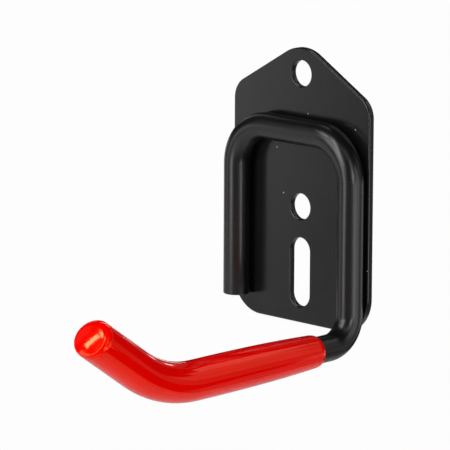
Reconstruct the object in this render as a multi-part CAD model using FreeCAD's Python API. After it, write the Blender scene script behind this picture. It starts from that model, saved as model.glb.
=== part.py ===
# Wall hook: a gabled steel plate, a bent round bar welded to it and a soft sleeve over the bar's arm.
# Millimetres. X is to the right seen from the front, Y goes into the wall and Z is up.
# The origin is the middle of the plate's back face, which lies on the wall.
import FreeCAD
import Part

import math
import os

from FreeCAD import Vector

# Mounting plate
plate_width = 55.6
plate_height = 82.7
plate_thickness = 1.87
gable_angle = 30.0
apex_radius = 12.7
shoulder_radius = 6.9
bottom_radius = 11.1
front_edge_break = 0.4

# Screw holes and the slot below them, all on the plate's middle line
hole_diameter = 7.85
top_hole_below_top = 7.65
slot_below_middle_hole = 13.3
slot_travel = 13.1
slot_above_bottom = 4.8

# Bent bar
bar_diameter = 8.0
seat_depth = 0.8
top_bar_below_top = 24.25
short_leg_above_bottom = 5.95
short_leg_inset = 0.65
long_leg_inset = 0.2
arm_below_bottom = 1.85
short_leg_bend = 12.6
long_leg_bend = 12.9
arm_bend = 9.0
arm_droop = 0.8
arm_reach = 81.8
upturn_angle = 34.5
upturn_bend = 39.3
bar_end_break = 0.4

# Sleeve over the arm
bare_arm = 5.65
sleeve_clearance = 0.02
open_end_wall = 0.95
full_wall = 1.9
taper_length = 30.0
lip_break = 0.6
tip_length = 34.8
tip_wall = 2.0
tip_edge_round = 2.9

# Places that follow from the sizes above
top_z = plate_height / 2
bottom_z = -plate_height / 2
front_y = -plate_thickness
bar_radius = bar_diameter / 2
bar_y = front_y - bar_radius + seat_depth
short_leg_x = bar_radius + short_leg_inset - plate_width / 2
long_leg_x = plate_width / 2 - bar_radius - long_leg_inset
top_bar_z = top_z - top_bar_below_top
short_leg_drop = plate_height - top_bar_below_top - short_leg_above_bottom
arm_drop = plate_height - top_bar_below_top + arm_below_bottom
arm_z = top_bar_z - arm_drop
slot_low_z = bottom_z + slot_above_bottom + hole_diameter / 2
slot_high_z = slot_low_z + slot_travel
middle_hole_z = slot_high_z + slot_below_middle_hole
top_hole_z = top_z - top_hole_below_top
bore_radius = bar_radius + sleeve_clearance
sleeve_radius = bore_radius + full_wall
open_end_radius = bore_radius + open_end_wall

touching = 1e-4
out_of_wall = Vector(0, -1, 0)
across = Vector(1, 0, 0)
slope_down = math.radians(arm_droop)
slope_up = math.radians(upturn_angle)
arm_direction = Vector(0, -math.cos(slope_down), -math.sin(slope_down))
tip_direction = Vector(0, -math.cos(slope_up), math.sin(slope_up))
above_arm = arm_direction.cross(across)
arm_root = Vector(long_leg_x, bar_y, arm_z)
arm_corner = arm_root + arm_direction * ((arm_reach + bar_y) / math.cos(slope_down))
root_tangent = arm_bend * math.tan((math.pi / 2 - slope_down) / 2)
upturn_tangent = upturn_bend * math.tan((slope_down + slope_up) / 2)
arm_start = arm_root + arm_direction * root_tangent
sleeve_start = arm_start + arm_direction * bare_arm
upturn_start = arm_corner - arm_direction * upturn_tangent


def corner_arc(before, corner, after, radius):
    """The arc of this radius that rounds a corner between two straight runs."""
    back = (before - corner).normalize()
    ahead = (after - corner).normalize()
    half = back.getAngle(ahead) / 2
    reach = radius / math.tan(half)
    middle = (back + ahead).normalize() * (radius / math.sin(half) - radius)
    return Part.Arc(corner + back * reach, corner + middle, corner + ahead * reach)


def rounded_path(points, radii, closed):
    """A wire of straight runs and tangent arcs. An open path has no radius at its two ends."""
    count = len(points)
    if closed:
        turns = range(count)
    else:
        turns = range(1, count - 1)
    arcs = []
    for turn, radius in zip(turns, radii):
        arcs.append(corner_arc(points[turn - 1], points[turn], points[(turn + 1) % count], radius))
    starts = [arc.EndPoint for arc in arcs]
    ends = [arc.StartPoint for arc in arcs]
    if closed:
        ends = ends[1:] + ends[:1]
    else:
        starts = [points[0]] + starts
        ends = ends + [points[-1]]
    runs = [Part.LineSegment(start, end) for start, end in zip(starts, ends)]
    edges = [curve.toShape() for curve in arcs + runs]
    return Part.Wire(Part.__sortEdges__(edges))


def round_bar(path, start, direction, radius):
    """A solid bar of this radius along a path that leaves its start in this direction."""
    section = Part.Wire(Part.makeCircle(radius, start, direction))
    return path.makePipeShell([section], True, False)


def turned(edges, centre, axis):
    """A closed half profile turned all the way round an axis."""
    return Part.Face(Part.Wire(edges)).revolve(centre, axis, 360)


def edges_at_front(shape):
    """The edges that lie in the plate's front face."""
    def depth_off(edge):
        return max(abs(vertex.Y - front_y) for vertex in edge.Vertexes)

    return [edge for edge in shape.Edges if depth_off(edge) < touching]


def plate_outline():
    """The gabled outline, on the plate's back face."""
    half = plate_width / 2
    slope = math.radians(gable_angle)
    apex_z = top_z + apex_radius * (1 / math.cos(slope) - 1)
    shoulder_z = apex_z - half * math.tan(slope)
    corners = [
        Vector(-half, 0, bottom_z),
        Vector(-half, 0, shoulder_z),
        Vector(0, 0, apex_z),
        Vector(half, 0, shoulder_z),
        Vector(half, 0, bottom_z),
    ]
    radii = [bottom_radius, shoulder_radius, apex_radius, shoulder_radius, bottom_radius]
    return rounded_path(corners, radii, True)


def hole_cutter(z):
    """A round screw hole's tool, through the plate's whole thickness."""
    return Part.makeCylinder(hole_diameter / 2, plate_thickness, Vector(0, 0, z), out_of_wall)


def slot_cutter():
    """The upright slot's tool: two round ends and the straight sides between them."""
    corner = Vector(-hole_diameter / 2, front_y, slot_low_z)
    middle = Part.makeBox(hole_diameter, plate_thickness, slot_travel, corner)
    return middle.fuse([hole_cutter(slot_high_z), hole_cutter(slot_low_z)]).removeSplitter()


def mounting_plate():
    """The flat plate with its holes, its front edges broken by stamping and coating."""
    blank = Part.Face(plate_outline()).extrude(out_of_wall * plate_thickness)
    plate = blank.cut([hole_cutter(top_hole_z), hole_cutter(middle_hole_z), slot_cutter()])
    return plate.makeChamfer(front_edge_break, edges_at_front(plate))


def bar_path():
    """The bar's centre line, from the short leg's cut end to the end inside the sleeve's tip."""
    points = [
        Vector(short_leg_x, bar_y, top_bar_z - short_leg_drop),
        Vector(short_leg_x, bar_y, top_bar_z),
        Vector(long_leg_x, bar_y, top_bar_z),
        arm_root,
        arm_corner,
        arm_corner + tip_direction * (tip_length - tip_wall),
    ]
    radii = [short_leg_bend, long_leg_bend, arm_bend, upturn_bend]
    return rounded_path(points, radii, False)


def hook_rod():
    """The bent bar, flat along its back where it was pressed into the plate and welded."""
    start = Vector(short_leg_x, bar_y, top_bar_z - short_leg_drop)
    bar = round_bar(bar_path(), start, Vector(0, 0, 1), bar_radius)
    ends = [edge for edge in bar.Edges if edge.isClosed() and edge.CenterOfMass.isEqual(start, touching)]
    bar = bar.makeChamfer(bar_end_break, ends)
    box = bar.BoundBox
    behind = Part.makeBox(box.XLength, bar_radius, box.ZLength, Vector(box.XMin, front_y, box.ZMin))
    return bar.cut(behind)


def sleeve_arm_skin():
    """The outside over the straight arm: the lip's broken edge, then a slow taper up to the full wall."""
    length = sleeve_start.distanceToPoint(upturn_start)

    def at(along, radius):
        return sleeve_start + arm_direction * along + across * radius

    corners = [
        at(0, 0),
        at(0, open_end_radius - lip_break),
        at(lip_break, open_end_radius),
        at(taper_length, sleeve_radius),
        at(length, sleeve_radius),
        at(length, 0),
        at(0, 0),
    ]
    return turned(Part.makePolygon(corners).Edges, sleeve_start, arm_direction)


def sleeve_bend_skin():
    """The outside round the upturn, a piece of a ring."""
    section = Part.Face(Part.Wire(Part.makeCircle(sleeve_radius, upturn_start, arm_direction)))
    centre = upturn_start + above_arm * upturn_bend
    return section.revolve(centre, -across, arm_droop + upturn_angle)


def sleeve_tip_skin():
    """The outside of the upturned end, closed by a flat face with a broad rounded edge."""
    axis = arm_corner + tip_direction * upturn_tangent
    end = tip_length - upturn_tangent
    side_end = end - tip_edge_round
    face_radius = sleeve_radius - tip_edge_round
    diagonal = tip_edge_round * math.sqrt(0.5)

    def at(along, radius):
        return axis + tip_direction * along + across * radius

    edge = Part.Arc(
        at(side_end, sleeve_radius),
        at(side_end + diagonal, face_radius + diagonal),
        at(end, face_radius),
    )
    corners = [at(end, face_radius), at(end, 0), at(0, 0), at(0, sleeve_radius), at(side_end, sleeve_radius)]
    return turned(Part.makePolygon(corners).Edges + [edge.toShape()], axis, tip_direction)


def sleeve_bore():
    """The space that the bar fills, open at the sleeve's lip."""
    end = arm_corner + tip_direction * (tip_length - tip_wall + sleeve_clearance)
    path = rounded_path([arm_start, arm_corner, end], [upturn_bend], False)
    return round_bar(path, arm_start, arm_direction, bore_radius)


def grip_sleeve():
    """The soft sleeve, one moulding with a closed end."""
    outside = sleeve_arm_skin().fuse([sleeve_bend_skin(), sleeve_tip_skin()]).removeSplitter()
    return outside.cut(sleeve_bore())


def main():
    os.makedirs("parts", exist_ok=True)
    pieces = {
        "mounting_plate": mounting_plate(),
        "hook_rod": hook_rod(),
        "grip_sleeve": grip_sleeve(),
    }
    for name, shape in pieces.items():
        solid = shape.Solids[0]
        print(name, len(shape.Solids), solid.isValid(), round(solid.Volume, 2), solid.BoundBox)
        solid.exportStep("parts/" + name + ".step")


main()
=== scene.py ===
"""A wall hook dressed for the camera.

It has a coated plate, a bent bar welded to it and a red sleeve over the bar's arm. Lengths are in
metres. X is to the right seen from the front, Y goes into the wall and Z is up.
"""

from __future__ import annotations

import logging
import math
from collections.abc import Iterable, Iterator
from dataclasses import dataclass
from enum import Enum
from typing import Any

import bmesh
import bpy
from mathutils import Matrix, Vector


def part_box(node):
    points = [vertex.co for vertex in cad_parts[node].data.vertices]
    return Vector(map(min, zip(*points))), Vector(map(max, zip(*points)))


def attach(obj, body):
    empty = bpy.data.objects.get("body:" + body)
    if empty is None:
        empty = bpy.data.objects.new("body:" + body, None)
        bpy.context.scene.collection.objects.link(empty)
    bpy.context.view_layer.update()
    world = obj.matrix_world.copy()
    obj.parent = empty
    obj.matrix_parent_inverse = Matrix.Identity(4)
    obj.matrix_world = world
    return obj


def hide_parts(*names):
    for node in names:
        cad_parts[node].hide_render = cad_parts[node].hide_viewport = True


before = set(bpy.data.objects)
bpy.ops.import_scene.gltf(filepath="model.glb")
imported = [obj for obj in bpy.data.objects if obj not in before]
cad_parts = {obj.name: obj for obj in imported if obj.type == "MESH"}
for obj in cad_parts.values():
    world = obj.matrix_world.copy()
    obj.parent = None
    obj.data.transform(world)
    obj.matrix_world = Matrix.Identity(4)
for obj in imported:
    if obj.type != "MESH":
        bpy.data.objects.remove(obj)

LOG = logging.getLogger("wall_hook")
BODY = "root"
MM = 0.001
RIGHT, BACK, UP = Vector((1.0, 0.0, 0.0)), Vector((0.0, 1.0, 0.0)), Vector((0.0, 0.0, 1.0))

# Points that lie closer together than this are one point.
TOUCHING = 0.001 * MM
# An arc has at least this many steps.
FEWEST_STEPS = 2
# The value that noise swings about, and the layers of finer noise in a large cloud.
NOISE_MIDDLE = 0.5
CLOUD_DETAIL = 3.0
# The places of a Mix node's colour sockets, whose names its other sockets have too.
MIX_FIRST, MIX_SECOND, MIX_RESULT = 6, 7, 2

Colour = tuple[float, float, float]


def direction(azimuth: float, elevation: float) -> Vector:
    """The direction at an azimuth, from the front to the right, and an elevation, in degrees.

    Args:
        azimuth: the angle from the front, positive towards the right.
        elevation: the angle above the level.

    Returns:
        A direction of length 1.
    """
    turn, rise = math.radians(azimuth), math.radians(elevation)
    level = math.cos(rise)
    return Vector((math.sin(turn) * level, -math.cos(turn) * level, math.sin(rise)))


def quarter_turn(steps: int) -> Iterator[tuple[float, float]]:
    """The angles in radians at which each step of a quarter turn starts and ends."""
    for step in range(1, steps + 1):
        yield (step - 1) / steps * math.pi / 2, step / steps * math.pi / 2


def points_among(items: Iterable[Any]) -> list[bmesh.types.BMVert]:
    """The points among what an operator hands back."""
    return [item for item in items if isinstance(item, bmesh.types.BMVert)]


def everything_in(mesh: bmesh.types.BMesh) -> list[Any]:
    """All points, edges and faces of a mesh."""
    return mesh.verts[:] + mesh.edges[:] + mesh.faces[:]


def merge_points(mesh: bmesh.types.BMesh) -> None:
    """Makes one point of those that lie together."""
    bmesh.ops.remove_doubles(mesh, verts=mesh.verts, dist=TOUCHING)


def scene_object(
    name: str, mesh: bmesh.types.BMesh, material: bpy.types.Material
) -> bpy.types.Object:
    """Puts a drawn mesh into the scene.

    Args:
        name: the name of the object and of its mesh.
        mesh: its shape, which is freed.
        material: its finish.

    Returns:
        The object, in the scene.
    """
    data = bpy.data.meshes.new(name)
    mesh.to_mesh(data)
    mesh.free()
    data.materials.append(material)
    made = bpy.data.objects.new(name, data)
    bpy.context.scene.collection.objects.link(made)
    return made


class Slot(Enum):
    """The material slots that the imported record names."""

    COAT = "black_powder_coat"
    VINYL = "red_vinyl"


class Node(Enum):
    """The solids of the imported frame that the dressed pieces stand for."""

    PLATE = "mounting_plate"
    ROD = "hook_rod"
    SLEEVE = "grip_sleeve"


class Output(Enum):
    """The node that ends a tree."""

    MATERIAL = "ShaderNodeOutputMaterial"
    WORLD = "ShaderNodeOutputWorld"


class Fineness(Enum):
    """How many steps a full turn of a curve gets."""

    RIM = 96
    BAR = 144
    SWEEP = 120

    def steps(self, angle: float) -> int:
        """The steps for an arc of this angle in radians."""
        return max(FEWEST_STEPS, round(self.value * abs(angle) / math.tau))


class Sock:
    """One output of a node tree, which takes part in Python expressions on values."""

    def __init__(self, graph: ShaderGraph, socket: bpy.types.NodeSocket) -> None:
        """Keeps the tree, so that an expression can add its nodes there."""
        self.graph = graph
        self.socket = socket

    def _maths(self, operation: str, *values: Any) -> Sock:
        """A Math node on these values."""
        return self.graph.node("ShaderNodeMath", {"operation": operation}, dict(enumerate(values)))

    def __add__(self, other: Sock | float) -> Sock:
        """Sum."""
        return self._maths("ADD", self, other)

    def __radd__(self, other: float) -> Sock:
        """Sum, with the number first."""
        return self._maths("ADD", other, self)

    def __sub__(self, other: Sock | float) -> Sock:
        """Difference."""
        return self._maths("SUBTRACT", self, other)

    def __rsub__(self, other: float) -> Sock:
        """Difference, with the number first."""
        return self._maths("SUBTRACT", other, self)

    def __mul__(self, other: Sock | float) -> Sock:
        """Product."""
        return self._maths("MULTIPLY", self, other)

    def __rmul__(self, other: float) -> Sock:
        """Product, with the number first."""
        return self._maths("MULTIPLY", other, self)

    def larger(self, other: Sock | float) -> Sock:
        """The larger of two values."""
        return self._maths("MAXIMUM", self, other)

    def step(self, low: float, high: float) -> Sock:
        """A smooth step between two values, whichever of them is the larger.

        Args:
            low: the value at which the step is 0.
            high: the value at which the step is 1.

        Returns:
            The step, which stays at 0 and at 1 beyond those values.
        """
        start, end = (0.0, 1.0) if low < high else (1.0, 0.0)
        return self.graph.node(
            "ShaderNodeMapRange",
            {"interpolation_type": "SMOOTHSTEP"},
            {
                "Value": self,
                "From Min": min(low, high),
                "From Max": max(low, high),
                "To Min": start,
                "To Max": end,
            },
        )


class ShaderGraph:
    """The node tree of a material or of the world."""

    def __init__(self, tree: bpy.types.NodeTree) -> None:
        """Empties the tree, which is then filled."""
        self.tree = tree
        tree.nodes.clear()

    def node(
        self,
        kind: str,
        settings: dict[str, Any] | None = None,
        inputs: dict[str | int, Any] | None = None,
        output: str | int = 0,
    ) -> Sock:
        """Makes any node.

        Args:
            kind: the node's type.
            settings: what is set on the node first.
            inputs: values or links of its sockets, by name or place.
            output: the output that is returned, by name or place.

        Returns:
            The chosen output, or the node's first input where it has no output.
        """
        made = self.tree.nodes.new(kind)
        for name, value in (settings or {}).items():
            setattr(made, name, value)
        for name, value in (inputs or {}).items():
            if isinstance(value, Sock):
                self.tree.links.new(value.socket, made.inputs[name])
            else:
                made.inputs[name].default_value = value
        return Sock(self, made.outputs[output] if made.outputs else made.inputs[0])

    def place(self) -> Sock:
        """The Object coordinates, in metres."""
        return self.node("ShaderNodeTexCoord", output="Object")

    def noise(self, size: float, detail: float = 2.0) -> Sock:
        """Cloudy noise.

        Args:
            size: the size of one patch, in metres.
            detail: the layers of finer noise.

        Returns:
            Values around a half.
        """
        return self.node(
            "ShaderNodeTexNoise",
            inputs={"Vector": self.place(), "Scale": 1.0 / size, "Detail": detail},
        )

    def specks(self, spacing: float, size: float, core: float = 0.6) -> Sock:
        """Sparse round specks.

        Args:
            spacing: the cell that holds one speck, in metres.
            size: a speck's radius, in metres.
            core: the share of the radius inside which a speck is at its full strength.

        Returns:
            One inside a speck and zero outside.
        """
        distance = self.node(
            "ShaderNodeTexVoronoi",
            {"feature": "F1"},
            {"Vector": self.place(), "Scale": 1.0 / spacing},
            "Distance",
        )
        return distance.step(size / spacing, core * size / spacing)

    def mix(self, factor: Sock, first: Colour, second: Colour) -> Sock:
        """A colour that goes from the first to the second by the factor."""
        inputs = {0: factor, MIX_FIRST: (*first, 1.0), MIX_SECOND: (*second, 1.0)}
        return self.node("ShaderNodeMix", {"data_type": "RGBA"}, inputs, MIX_RESULT)

    def bump(self, height: Sock, depth: float) -> Sock:
        """A bump of this depth in metres, from a height of 0 to 1."""
        return self.node("ShaderNodeBump", inputs={"Height": height, "Distance": depth})

    def finish(self, output: Output, surface: Sock) -> None:
        """Links the surface to the tree's output node."""
        self.node(output.value, inputs={"Surface": surface})


def new_material(name: str) -> tuple[bpy.types.Material, ShaderGraph]:
    """Starts a material.

    Args:
        name: the material's name.

    Returns:
        The material and its node tree, which is still empty.
    """
    made = bpy.data.materials.new(name)
    made.use_nodes = True
    return made, ShaderGraph(made.node_tree)


@dataclass(frozen=True)
class PowderCoat:
    """Black powder coat, half glossy, with a faint orange peel and a little dust."""

    name: str = "black_powder_coat"
    colour: Colour = (0.004, 0.004, 0.0041)
    roughness: float = 0.29
    roughness_swing: float = 0.06
    cloud_size: float = 9.0 * MM
    peel_size: float = 0.9 * MM
    peel_depth: float = 0.004 * MM
    dust_colour: Colour = (0.70, 0.70, 0.70)
    dust_roughness: float = 0.3
    dust_spacing: float = 5.5 * MM
    dust_radius: float = 0.19 * MM

    @classmethod
    def on_sheet(cls) -> PowderCoat:
        """The coat on the flat plate, where it flowed out smoother than on the bar."""
        return cls("black_powder_coat_flat", roughness=0.2)

    def material(self) -> bpy.types.Material:
        """Builds the material.

        Returns:
            The coat, ready to be put on a piece.
        """
        made, graph = new_material(self.name)
        dust = graph.specks(self.dust_spacing, self.dust_radius)
        cloud = graph.noise(self.cloud_size, CLOUD_DETAIL)
        cloudy = self.roughness + (cloud - NOISE_MIDDLE) * self.roughness_swing
        surface = graph.node(
            "ShaderNodeBsdfPrincipled",
            inputs={
                "Base Color": graph.mix(dust, self.colour, self.dust_colour),
                "Roughness": cloudy + dust * self.dust_roughness,
                "Normal": graph.bump(graph.noise(self.peel_size), self.peel_depth),
            },
        )
        graph.finish(Output.MATERIAL, surface)
        return made


@dataclass(frozen=True)
class SoftVinyl:
    """Glossy red vinyl with soft waves in its skin, duller towards the sleeve's open end.

    Its clouds have the deep colour below one value and the plain colour above another. The
    wear sets in between the places worn_from and worn_to in Y.
    """

    name: str = "red_vinyl"
    colour: Colour = (0.97, 0.001, 0.0003)
    deep_colour: Colour = (0.93, 0.0008, 0.0003)
    deep_below: float = 0.3
    plain_above: float = 0.7
    gloss_colour: Colour = (1.0, 0.17, 0.0)
    gloss: float = 1.0
    roughness: float = 0.09
    roughness_swing: float = 0.04
    cloud_size: float = 12.0 * MM
    skin: float = 0.12
    skin_roughness: float = 0.05
    worn_roughness: float = 0.12
    worn_from: float = -34.0 * MM
    worn_to: float = -22.0 * MM
    wave_size: float = 9.0 * MM
    wave_depth: float = 0.005 * MM

    def material(self) -> bpy.types.Material:
        """Builds the material.

        Returns:
            The vinyl, ready to be put on a piece.
        """
        made, graph = new_material(self.name)
        cloud = graph.noise(self.cloud_size, CLOUD_DETAIL)
        cloudy = self.roughness + (cloud - NOISE_MIDDLE) * self.roughness_swing
        plain = cloud.step(self.deep_below, self.plain_above)
        depth = graph.node("ShaderNodeSeparateXYZ", inputs={0: graph.place()}, output="Y")
        worn = depth.step(self.worn_from, self.worn_to)
        surface = graph.node(
            "ShaderNodeBsdfPrincipled",
            inputs={
                "Base Color": graph.mix(plain, self.deep_colour, self.colour),
                "Roughness": cloudy + worn * self.worn_roughness,
                "Specular IOR Level": self.gloss,
                "Specular Tint": (*self.gloss_colour, 1.0),
                "Coat Weight": self.skin,
                "Coat Roughness": self.skin_roughness,
                "Normal": graph.bump(graph.noise(self.wave_size), self.wave_depth),
            },
        )
        graph.finish(Output.MATERIAL, surface)
        return made


class Piece:
    """A mesh that is drawn with operators and then handed to the frame."""

    def __init__(self, name: str) -> None:
        """Starts an empty mesh of this name."""
        self.name = name
        self.mesh = bmesh.new()

    def sharpen(self, angle: float) -> None:
        """Shades the mesh smooth, apart from its sharp edges.

        Args:
            angle: the turn of an edge, in degrees, from which it is sharp.
        """
        for face in self.mesh.faces:
            face.smooth = True
        for edge in self.mesh.edges:
            inside = len(edge.link_faces) == 2
            edge.smooth = inside and edge.calc_face_angle() < math.radians(angle)

    def hand_over(self, node: Node, slot: Slot, material: bpy.types.Material) -> bpy.types.Object:
        """Makes the object, which rides on the body and stands for a solid of the frame.

        Args:
            node: the solid that the piece replaces.
            slot: the record's material slot; not used.
            material: the finish.

        Returns:
            The finished object.
        """
        merge_points(self.mesh)
        bmesh.ops.recalc_face_normals(self.mesh, faces=self.mesh.faces)
        made = scene_object(self.name, self.mesh, material)
        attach(made, BODY)
        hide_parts(node.value)
        return made


class OutlinePen:
    """Draws a chain of edges in the wall's plane, from lines and arcs."""

    def __init__(self, mesh: bmesh.types.BMesh, x: float, z: float) -> None:
        """Sets the pen down at a point."""
        self.mesh = mesh
        self.tip = bmesh.ops.create_vert(mesh, co=(x, 0.0, z))["vert"][0]

    def line_to(self, x: float, z: float) -> None:
        """Draws a straight edge to a point."""
        self.tip = bmesh.ops.extrude_vert_indiv(self.mesh, verts=[self.tip])["verts"][0]
        self.tip.co = (x, 0.0, z)

    def arc(self, x: float, z: float, angle: float) -> None:
        """Draws an arc about a centre.

        Args:
            x: the centre's place to the right.
            z: the centre's height.
            angle: the arc's angle in degrees, clockwise as seen from the front.
        """
        turn = math.radians(angle)
        made = bmesh.ops.spin(
            self.mesh,
            geom=[self.tip],
            cent=(x, 0.0, z),
            axis=BACK,
            angle=turn,
            steps=Fineness.RIM.steps(turn),
        )
        self.tip = points_among(made["geom_last"])[0]


class TravellingRing:
    """A ring of edges that leaves a tube behind it as it is pushed, turned and resized."""

    def __init__(
        self, mesh: bmesh.types.BMesh, centre: Vector, heading: Vector, radius: float
    ) -> None:
        """Draws the first ring.

        Args:
            mesh: the mesh to draw in.
            centre: the ring's centre.
            heading: the direction that the ring looks in.
            radius: the ring's radius.
        """
        self.mesh = mesh
        self.radius = radius
        turn = heading.to_track_quat("Z", "X").to_matrix().to_4x4()
        place = Matrix.Translation(centre) @ turn
        made = bmesh.ops.create_circle(
            mesh, segments=Fineness.BAR.value, radius=radius, matrix=place
        )
        self.verts = made["verts"]

    def edges(self) -> list[bmesh.types.BMEdge]:
        """The ring's own edges.

        Returns:
            The edges that join two of its points.
        """
        ring = set(self.verts)
        found = dict.fromkeys(edge for vert in self.verts for edge in vert.link_edges)
        return [edge for edge in found if ring.issuperset(edge.verts)]

    def centre(self) -> Vector:
        """The ring's centre."""
        return sum((vert.co for vert in self.verts), Vector()) / len(self.verts)

    def push(self, travel: Vector, radius: float | None = None) -> None:
        """Leaves a straight or tapered wall behind.

        Args:
            travel: how far the ring moves.
            radius: the ring's new radius, where it changes.
        """
        made = bmesh.ops.extrude_edge_only(self.mesh, edges=self.edges())
        self.verts = points_among(made["geom"])
        bmesh.ops.translate(self.mesh, verts=self.verts, vec=travel)
        if radius is not None:
            factor = radius / self.radius
            space = Matrix.Translation(-self.centre())
            bmesh.ops.scale(self.mesh, verts=self.verts, vec=(factor, factor, factor), space=space)
            self.radius = radius

    def round_over(
        self, heading: Vector, size: float, radius: float, steps: int, stretch: float = 1.0
    ) -> None:
        """Leaves a quarter round behind, from an end face out to the side.

        Args:
            heading: the direction away from the end face.
            size: the quarter round's radius.
            radius: the ring's radius after it.
            steps: how many rings it gets.
            stretch: how much longer than high it is.
        """
        for last, angle in quarter_turn(steps):
            rise = size * (math.cos(last) - math.cos(angle))
            self.push(heading * (rise * stretch), radius - size * (1.0 - math.sin(angle)))

    def turn(self, pivot: Vector, axis: Vector, angle: float) -> None:
        """Leaves a bend behind.

        Args:
            pivot: a point on the bend's axis.
            axis: the bend's axis.
            angle: the bend's angle in degrees.
        """
        swing = math.radians(angle)
        made = bmesh.ops.spin(
            self.mesh,
            geom=self.verts + self.edges(),
            cent=pivot,
            axis=axis,
            angle=swing,
            steps=Fineness.SWEEP.steps(swing),
        )
        self.verts = points_among(made["geom_last"])

    def skew(self, heading: Vector, slope: Vector) -> None:
        """Slides the ring's points along a direction, by as much as they lie along the slope.

        Args:
            heading: the direction that the points move in.
            slope: the direction in which the move grows, as long as the move at one unit.
        """
        slide = Matrix([[along * rise for rise in slope] for along in heading])
        matrix = (Matrix.Identity(3) + slide).to_4x4()
        space = Matrix.Translation(-self.centre())
        bmesh.ops.transform(self.mesh, matrix=matrix, verts=self.verts, space=space)

    def close(self) -> None:
        """Closes the ring with a flat face."""
        bmesh.ops.contextual_create(self.mesh, geom=self.edges())


@dataclass
class MountingPlate:
    """The gabled plate with two screw holes and a slot on its middle line.

    An edge that turns by more than rim_turn, in radians, is a rim, and one that turns by more than
    crease, in degrees, is shaded sharp.
    """

    width: float
    height: float
    thickness: float
    gable_angle: float = 30.0
    apex_radius: float = 12.7 * MM
    shoulder_radius: float = 6.9 * MM
    bottom_radius: float = 11.1 * MM
    hole_radius: float = 3.925 * MM
    top_hole_below_top: float = 7.65 * MM
    slot_below_middle_hole: float = 13.3 * MM
    slot_travel: float = 13.1 * MM
    slot_above_bottom: float = 4.8 * MM
    front_round: float = 0.44 * MM
    back_round: float = 0.12 * MM
    round_steps: int = 5
    rim_turn: float = 0.5
    crease: float = 40.0

    @classmethod
    def from_frame(cls) -> MountingPlate:
        """Takes the plate's size from its solid."""
        low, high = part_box(Node.PLATE.value)
        return cls(high.x - low.x, high.z - low.z, high.y - low.y)

    def half_outline(self, mesh: bmesh.types.BMesh) -> None:
        """Draws the right half, round the outside and back up through the holes.

        Args:
            mesh: the plate's mesh, which is still empty.
        """
        half, top, bottom = self.width / 2, self.height / 2, -self.height / 2
        slope = math.radians(self.gable_angle)
        apex_z = top - self.apex_radius
        ridge_z = apex_z + self.apex_radius / math.cos(slope)
        shoulder_x = half - self.shoulder_radius
        shoulder_z = ridge_z - half * math.tan(slope)
        shoulder_z -= self.shoulder_radius * math.tan((math.pi / 2 - slope) / 2)
        hole = self.hole_radius
        slot_low = bottom + self.slot_above_bottom + hole
        slot_high = slot_low + self.slot_travel
        pen = OutlinePen(mesh, 0.0, top)
        pen.arc(0.0, apex_z, self.gable_angle)
        pen.line_to(
            shoulder_x + self.shoulder_radius * math.sin(slope),
            shoulder_z + self.shoulder_radius * math.cos(slope),
        )
        pen.arc(shoulder_x, shoulder_z, 90.0 - self.gable_angle)
        pen.line_to(half, bottom + self.bottom_radius)
        pen.arc(half - self.bottom_radius, bottom + self.bottom_radius, 90.0)
        pen.line_to(0.0, bottom)
        pen.line_to(0.0, slot_low - hole)
        pen.arc(0.0, slot_low, -90.0)
        pen.line_to(hole, slot_high)
        pen.arc(0.0, slot_high, -90.0)
        for centre in (slot_high + self.slot_below_middle_hole, top - self.top_hole_below_top):
            pen.line_to(0.0, centre - hole)
            pen.arc(0.0, centre, -180.0)
        pen.line_to(0.0, top)

    def build(self) -> Piece:
        """Draws half the outline, mirrors it and gives it its thickness and its rounded edges.

        Returns:
            The plate, not yet in the scene.
        """
        piece = Piece("coated_plate")
        mesh = piece.mesh
        self.half_outline(mesh)
        merge_points(mesh)
        bmesh.ops.contextual_create(mesh, geom=mesh.edges[:])
        bmesh.ops.mirror(mesh, geom=everything_in(mesh), axis="X", merge_dist=TOUCHING)
        made = bmesh.ops.extrude_face_region(mesh, geom=mesh.faces[:])
        front = points_among(made["geom"])
        bmesh.ops.translate(mesh, verts=front, vec=(0.0, -self.thickness, 0.0))
        bmesh.ops.recalc_face_normals(mesh, faces=mesh.faces)
        self.round_edges(mesh, -self.thickness, self.front_round)
        self.round_edges(mesh, 0.0, self.back_round)
        return piece

    def round_edges(self, mesh: bmesh.types.BMesh, depth: float, size: float) -> None:
        """Rounds the edges of the front or the back face.

        Args:
            mesh: the plate's mesh.
            depth: the face's place in Y.
            size: the rounding's radius.
        """
        rim = [
            edge
            for edge in mesh.edges
            if all(abs(vert.co.y - depth) < TOUCHING for vert in edge.verts)
            and edge.calc_face_angle(0.0) > self.rim_turn
        ]
        bmesh.ops.bevel(
            mesh,
            geom=rim,
            offset=size,
            offset_type="OFFSET",
            segments=self.round_steps,
            profile=0.5,
            affect="EDGES",
            material=-1,
            clamp_overlap=False,
        )

    def dress(self, coat: bpy.types.Material) -> bpy.types.Object:
        """Builds the plate and gives it its coat.

        Args:
            coat: the finish.

        Returns:
            The plate, in the scene.
        """
        piece = self.build()
        piece.sharpen(self.crease)
        made = piece.hand_over(Node.PLATE, Slot.COAT, coat)
        made.modifiers.new("flat_faces", "WEIGHTED_NORMAL").keep_sharp = True
        return made


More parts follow.
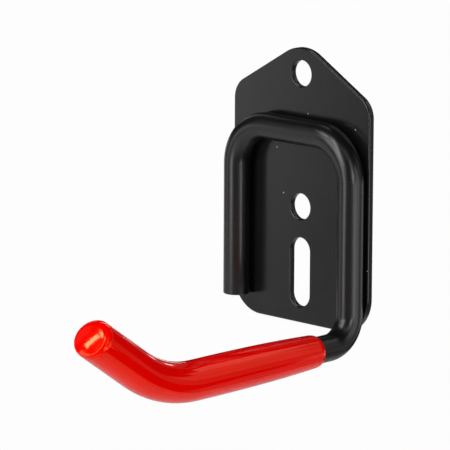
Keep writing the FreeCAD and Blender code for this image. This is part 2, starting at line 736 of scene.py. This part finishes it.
@dataclass
class BarPath:
    """The line that the bar and the sleeve follow. Its angles are in degrees."""

    plate: MountingPlate
    bar_radius: float = 4.0 * MM
    seat_depth: float = 0.8 * MM
    top_bar_below_top: float = 24.25 * MM
    short_leg_above_bottom: float = 5.95 * MM
    short_leg_inset: float = 0.65 * MM
    long_leg_inset: float = 0.2 * MM
    arm_below_bottom: float = 1.85 * MM
    short_leg_bend: float = 12.6 * MM
    long_leg_bend: float = 12.9 * MM
    arm_bend: float = 9.0 * MM
    arm_droop: float = 0.8
    arm_reach: float = 81.8 * MM
    upturn_angle: float = 34.5
    upturn_bend: float = 39.3 * MM

    def __post_init__(self) -> None:
        """Works out the places that follow from the sizes."""
        edge = self.plate.width / 2 - self.bar_radius
        self.front_y = -self.plate.thickness
        self.y = self.front_y - self.bar_radius + self.seat_depth
        self.short_leg_x = self.short_leg_inset - edge
        self.long_leg_x = edge - self.long_leg_inset
        self.top_z = self.plate.height / 2 - self.top_bar_below_top
        self.short_end_z = self.short_leg_above_bottom - self.plate.height / 2
        self.arm_heading = direction(0.0, -self.arm_droop)
        self.tip_heading = direction(0.0, self.upturn_angle)
        self.upturn = self.arm_droop + self.upturn_angle
        above_arm = self.arm_heading.cross(RIGHT)
        arm_z = -self.plate.height / 2 - self.arm_below_bottom
        root = Vector((self.long_leg_x, self.y, arm_z))
        run = (self.arm_reach + self.y) / math.cos(math.radians(self.arm_droop))
        corner = root + self.arm_heading * run
        root_tangent = self.arm_bend * math.tan(math.radians(90.0 - self.arm_droop) / 2)
        self.tangent = self.upturn_bend * math.tan(math.radians(self.upturn) / 2)
        self.leg_end = root + UP * root_tangent
        self.arm_pivot = self.leg_end - BACK * self.arm_bend
        self.arm_start = root + self.arm_heading * root_tangent
        self.arm_length = run - root_tangent - self.tangent
        upturn_start = corner - self.arm_heading * self.tangent
        self.upturn_pivot = upturn_start + above_arm * self.upturn_bend
        self.tip_start = corner + self.tip_heading * self.tangent


@dataclass
class HookRod:
    """The bent bar, flat along its back where it is welded to the plate."""

    path: BarPath
    tip_length: float = 28.4 * MM
    end_round: float = 0.35 * MM
    end_steps: int = 4
    crease: float = 50.0

    def build(self) -> Piece:
        """Sends a ring along the path, closes its ends and cuts the flat.

        Returns:
            The bar, not yet in the scene.
        """
        path = self.path
        piece = Piece("bent_bar")
        start = Vector((path.short_leg_x, path.y, path.short_end_z))
        ring = TravellingRing(piece.mesh, start, UP, path.bar_radius - self.end_round)
        ring.close()
        ring.round_over(UP, self.end_round, path.bar_radius, self.end_steps)
        ring.push(UP * (path.top_z - path.short_leg_bend - ring.centre().z))
        ring.turn(ring.centre() + RIGHT * path.short_leg_bend, BACK, 90.0)
        ring.push(RIGHT * (path.long_leg_x - path.long_leg_bend - ring.centre().x))
        ring.turn(ring.centre() - UP * path.long_leg_bend, BACK, 90.0)
        ring.push(path.leg_end - ring.centre())
        ring.turn(path.arm_pivot, RIGHT, path.arm_droop - 90.0)
        ring.push(path.arm_heading * path.arm_length)
        ring.turn(path.upturn_pivot, RIGHT, -path.upturn)
        ring.push(path.tip_heading * (self.tip_length - path.tangent))
        ring.close()
        self.cut_flat(piece.mesh)
        return piece

    def cut_flat(self, mesh: bmesh.types.BMesh) -> None:
        """Cuts the bar off along the plate's front and closes the cut.

        Args:
            mesh: the bar's mesh.
        """
        bmesh.ops.bisect_plane(
            mesh,
            geom=everything_in(mesh),
            plane_co=(0.0, self.path.front_y, 0.0),
            plane_no=BACK,
            clear_outer=True,
        )
        merge_points(mesh)
        bmesh.ops.holes_fill(mesh, edges=[edge for edge in mesh.edges if edge.is_boundary])

    def dress(self, coat: bpy.types.Material) -> bpy.types.Object:
        """Builds the bar and gives it its coat.

        Args:
            coat: the finish.

        Returns:
            The bar, in the scene.
        """
        piece = self.build()
        piece.sharpen(self.crease)
        return piece.hand_over(Node.ROD, Slot.COAT, coat)


@dataclass
class GripSleeve:
    """The vinyl sleeve: open at the arm's root, swelling along the arm and closed over the tip."""

    path: BarPath
    bare_arm: float = 5.65 * MM
    clearance: float = 0.02 * MM
    bore_length: float = 28.4 * MM
    open_radius: float = 4.97 * MM
    full_radius: float = 5.92 * MM
    lip_round: float = 0.75 * MM
    lip_stretch: float = 3.2
    lip_steps: int = 10
    swell_length: float = 46.0 * MM
    swell_power: float = 2.6
    swell_steps: int = 24
    tip_length: float = 33.5 * MM
    tip_round: float = 1.7 * MM
    tip_round_steps: int = 12
    tip_crown: float = 0.25 * MM
    tip_crown_steps: int = 6
    tip_slant: float = 0.18
    tip_sag: float = 1.2 * MM
    crease: float = 60.0

    def build(self) -> Piece:
        """Sends a ring up the bore from its end, over the lip and along the outside to the tip.

        Returns:
            The sleeve, not yet in the scene.
        """
        path = self.path
        piece = Piece("vinyl_sleeve")
        bore_run = self.bore_length + self.clearance - path.tangent
        bore_end = path.tip_start + path.tip_heading * bore_run
        bore_radius = path.bar_radius + self.clearance
        ring = TravellingRing(piece.mesh, bore_end, path.tip_heading, bore_radius)
        ring.close()
        ring.push(path.tip_start - bore_end)
        ring.turn(path.upturn_pivot, RIGHT, path.upturn)
        ring.push(path.arm_start + path.arm_heading * self.bare_arm - ring.centre())
        ring.push(Vector(), self.open_radius - self.lip_round)
        ring.round_over(
            path.arm_heading, self.lip_round, self.open_radius, self.lip_steps, self.lip_stretch
        )
        self.swell(ring)
        ring.turn(path.upturn_pivot, RIGHT, -path.upturn)
        self.dome(ring)
        return piece

    def swell(self, ring: TravellingRing) -> None:
        """Takes the ring along the arm, where the wall grows quickly at first and then slowly.

        Args:
            ring: the ring at the inner end of the lip.
        """
        heading = self.path.arm_heading
        steps = self.swell_steps
        growth = self.full_radius - self.open_radius
        for step in range(1, steps + 1):
            left = 1.0 - step / steps
            radius = self.full_radius - growth * left**self.swell_power
            ring.push(heading * (self.swell_length / steps), radius)
        end = self.path.arm_start + heading * self.path.arm_length
        ring.push(end - ring.centre())

    def dome(self, ring: TravellingRing) -> None:
        """Closes the tip with a nearly flat face, set askew and low as on a soft dipped end.

        Args:
            ring: the ring at the end of the upturn.
        """
        heading = self.path.tip_heading
        above = heading.cross(RIGHT)
        side = self.tip_length - self.path.tangent - self.tip_round - self.tip_crown
        ring.push(heading * side)
        ring.skew(heading, RIGHT * -self.tip_slant)
        for last, angle in quarter_turn(self.tip_round_steps):
            rise, inset = math.sin(angle) - math.sin(last), math.cos(last) - math.cos(angle)
            ring.push(
                heading * (self.tip_round * rise) - above * (self.tip_sag * inset),
                self.full_radius - self.tip_round * (1.0 - math.cos(angle)),
            )
        face_radius = self.full_radius - self.tip_round
        for step in range(1, self.tip_crown_steps):
            outer, inner = (1.0 - share / self.tip_crown_steps for share in (step - 1, step))
            ring.push(heading * self.tip_crown * (outer**2 - inner**2), face_radius * inner)
        ring.close()

    def dress(self, vinyl: bpy.types.Material) -> bpy.types.Object:
        """Builds the sleeve and gives it its finish.

        Args:
            vinyl: the finish.

        Returns:
            The sleeve, in the scene.
        """
        piece = self.build()
        piece.sharpen(self.crease)
        return piece.hand_over(Node.SLEEVE, Slot.VINYL, vinyl)


def stage_mesh(
    name: str, mesh: bmesh.types.BMesh, material: bpy.types.Material
) -> bpy.types.Object:
    """Makes a part of the studio, which isn't part of the hook.

    Args:
        name: the object's name.
        mesh: its shape, which is freed.
        material: its finish.

    Returns:
        The object, in the scene.
    """
    made = scene_object(name, mesh, material)
    return made


@dataclass(frozen=True)
class SoftBox:
    """A rectangular lamp that looks at the hook, turned about its own axis by its roll.

    A brightness of 1 is that of a white surface. The angles are in degrees.
    """

    name: str
    azimuth: float
    elevation: float
    width: float
    height: float
    brightness: float
    distance: float = 1.6
    roll: float = 0.0

    def place(self) -> None:
        """Hangs the lamp, with the power that gives its face the brightness."""
        lamp = bpy.data.lights.new(self.name, "AREA")
        lamp.shape = "RECTANGLE"
        lamp.size, lamp.size_y = self.width, self.height
        lamp.energy = self.brightness * math.pi * self.width * self.height
        made = bpy.data.objects.new(self.name, lamp)
        towards = direction(self.azimuth, self.elevation)
        facing = towards.to_track_quat("Z", "Y").to_matrix()
        rolled = Matrix.Rotation(math.radians(self.roll), 3, "Z")
        made.location = towards * self.distance
        made.rotation_euler = (facing @ rolled).to_euler()
        made.visible_camera = False
        bpy.context.scene.collection.objects.link(made)


@dataclass(frozen=True)
class Tent:
    """A dark tent all round the hook, which keeps stray light out. The camera doesn't see it."""

    name: str = "dark_tent"
    radius: float = 4.0
    brightness: float = 0.01
    panels: int = 48
    rings: int = 24

    def place(self) -> None:
        """Hangs the tent."""
        mesh = bmesh.new()
        bmesh.ops.create_uvsphere(
            mesh, u_segments=self.panels, v_segments=self.rings, radius=self.radius
        )
        material, graph = new_material(self.name)
        tone = graph.node("ShaderNodeEmission", inputs={"Strength": self.brightness})
        graph.finish(Output.MATERIAL, tone)
        stage_mesh(self.name, mesh, material).visible_camera = False


@dataclass(frozen=True)
class Floor:
    """A round pale table below the hook, set off to its front left."""

    name: str = "pale_floor"
    place_x: float = -0.5
    place_y: float = -0.25
    drop: float = 0.36
    radius: float = 0.9
    sides: int = 128
    colour: Colour = (0.82, 0.82, 0.82)
    patch_size: float = 0.2
    patch_shade: float = 0.98

    def place(self) -> None:
        """Lays the table."""
        mesh = bmesh.new()
        place = Matrix.Translation((self.place_x, self.place_y, -self.drop))
        bmesh.ops.create_circle(
            mesh, cap_ends=True, segments=self.sides, radius=self.radius, matrix=place
        )
        material, graph = new_material(self.name)
        shade = tuple(self.patch_shade * part for part in self.colour)
        tone = graph.mix(graph.noise(self.patch_size, CLOUD_DETAIL), self.colour, shade)
        surface = graph.node("ShaderNodeBsdfDiffuse", inputs={"Color": tone})
        graph.finish(Output.MATERIAL, surface)
        stage_mesh(self.name, mesh, material)


@dataclass(frozen=True)
class Camera:
    """A long lens, in front of the hook, to its right and a little above it."""

    name: str = "camera"
    azimuth: float = 45.001
    elevation: float = 11.233
    roll: float = 0.281
    distance: float = 1.327382
    aim_right: float = -23.611 * MM
    aim_up: float = -11.791 * MM
    lens: float = 358.5
    sensor: float = 36.0
    sees_from: float = 0.1
    sees_to: float = 20.0

    def place(self) -> None:
        """Sets the camera up and makes it the scene's own."""
        back = direction(self.azimuth, self.elevation)
        level = direction(self.azimuth + 90.0, 0.0)
        right = Matrix.Rotation(math.radians(self.roll), 3, back) @ level
        up = back.cross(right)
        data = bpy.data.cameras.new(self.name)
        data.lens, data.sensor_width = self.lens, self.sensor
        data.clip_start, data.clip_end = self.sees_from, self.sees_to
        made = bpy.data.objects.new(self.name, data)
        made.location = back * self.distance + right * self.aim_right + up * self.aim_up
        made.rotation_euler = Matrix((right, up, back)).transposed().to_euler()
        bpy.context.scene.collection.objects.link(made)
        bpy.context.scene.camera = made


@dataclass(frozen=True)
class Studio:
    """A white room with a dark tent, soft boxes, a pale table and the camera."""

    background: float = 0.982
    room: float = 0.8
    # A soft box has its name, azimuth, elevation, width, height and brightness.
    fittings: tuple[SoftBox | Tent | Floor | Camera, ...] = (
        Floor(),
        Camera(),
        Tent(),
        SoftBox("front_box", -6.0, -1.0, 0.39, 1.16, 1.88),
        SoftBox("front_left", -16.0, 6.0, 0.28, 0.86, 4.02),
        SoftBox("front_high", -25.0, 20.0, 0.34, 0.62, 3.51),
        SoftBox("front_mid", 0.0, 14.0, 0.56, 0.39, 4.19),
        SoftBox("front_strip", -1.0, 37.0, 0.25, 0.98, 10.00),
        SoftBox("front_strip_left", -12.0, 37.0, 0.28, 0.74, 0.75),
        SoftBox("right_box", 81.0, 5.0, 0.62, 1.49, 0.15),
        SoftBox("right_near", 65.0, 5.0, 0.28, 0.56, 8.20),
        SoftBox("right_near_high", 66.0, 25.0, 0.34, 0.56, 1.98),
        SoftBox("right_wide", 100.0, 0.0, 0.74, 1.29, 1.56),
        SoftBox("right_top", 50.0, 45.0, 0.80, 0.62, 0.70),
        SoftBox("rim_top", -155.0, 62.0, 0.86, 0.42, 4.53),
        SoftBox("rim_top_left", -125.0, 62.0, 0.56, 0.42, 1.99),
        SoftBox("rim_back", -156.0, 17.0, 0.45, 0.50, 6.00),
        SoftBox("rim_side", -108.0, 27.0, 0.34, 1.04, 0.79),
        SoftBox("back_left", -145.0, 3.0, 0.28, 0.86, 1.97),
        SoftBox("back_left_inner", -165.0, 9.0, 0.34, 0.62, 0.19),
        SoftBox("left_panel", -57.0, -5.0, 0.28, 0.68, 1.20),
        SoftBox("left_panel_inner", -48.0, -0.5, 0.22, 0.68, 1.55),
        SoftBox("tip_strip", -28.0, 40.5, 0.12, 0.34, 20.00, roll=-11.0),
        SoftBox("left_high", -46.0, 25.0, 0.28, 1.16, 0.31),
        SoftBox("back_top", 158.5, 46.0, 0.45, 0.45, 1.00),
        SoftBox("back_high", 145.0, 33.0, 0.45, 0.39, 0.70),
        SoftBox("back_right_high", 136.0, 16.0, 0.45, 0.56, 0.62),
        SoftBox("back_right", 135.0, -3.0, 0.45, 0.51, 0.26),
        SoftBox("back_bottom", 150.0, -30.0, 0.68, 0.50, 0.28),
        SoftBox("right_back_low", 117.0, -9.0, 0.39, 0.50, 1.50),
        SoftBox("back_right_low", 152.0, -13.0, 0.68, 0.39, 0.90),
        SoftBox("back_low", 172.0, -12.0, 0.56, 0.39, 1.10),
        SoftBox("left_low", -98.0, -10.0, 0.68, 0.56, 0.88),
        SoftBox("front_low", -10.0, -15.0, 0.56, 0.34, 3.00),
        SoftBox("right_low", 80.0, -15.0, 0.56, 0.34, 4.40),
        SoftBox("low_fill", 60.0, -36.0, 0.33, 0.22, 0.25, distance=0.45),
        SoftBox("low_camera", 35.0, -12.0, 1.16, 0.39, 0.32),
    )

    def light_room(self) -> None:
        """Makes the room white for the camera and for reflections, and a little dimmer as light."""
        world = bpy.data.worlds.new("white_room")
        world.use_nodes = True
        graph = ShaderGraph(world.node_tree)
        rays = graph.node("ShaderNodeLightPath").socket.node.outputs
        names = ("Is Camera Ray", "Is Glossy Ray", "Is Transmission Ray")
        camera, glossy, through = (Sock(graph, rays[name]) for name in names)
        seen = camera.larger(glossy).larger(through)
        strength = self.room + seen * (self.background - self.room)
        white = graph.node(
            "ShaderNodeBackground", inputs={"Color": (1.0, 1.0, 1.0, 1.0), "Strength": strength}
        )
        graph.finish(Output.WORLD, white)
        bpy.context.scene.world = world

    def build(self) -> None:
        """Lights the room and sets up what stands in it."""
        bpy.context.scene.view_settings.view_transform = "Standard"
        self.light_room()
        for item in self.fittings:
            item.place()
            LOG.info("studio: %s", item.name)


def main() -> None:
    """Builds the pieces and the studio, and logs each piece's face count."""
    logging.basicConfig(level=logging.INFO, format="%(name)s: %(message)s")
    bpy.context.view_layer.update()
    coat, flat_coat = PowderCoat().material(), PowderCoat.on_sheet().material()
    vinyl = SoftVinyl().material()
    plate = MountingPlate.from_frame()
    path = BarPath(plate)
    rod, sleeve = HookRod(path), GripSleeve(path)
    for piece in (plate.dress(flat_coat), rod.dress(coat), sleeve.dress(vinyl)):
        LOG.info("piece: %s, %d faces", piece.name, len(piece.data.polygons))
    Studio().build()


if __name__ == "__main__":
    main()
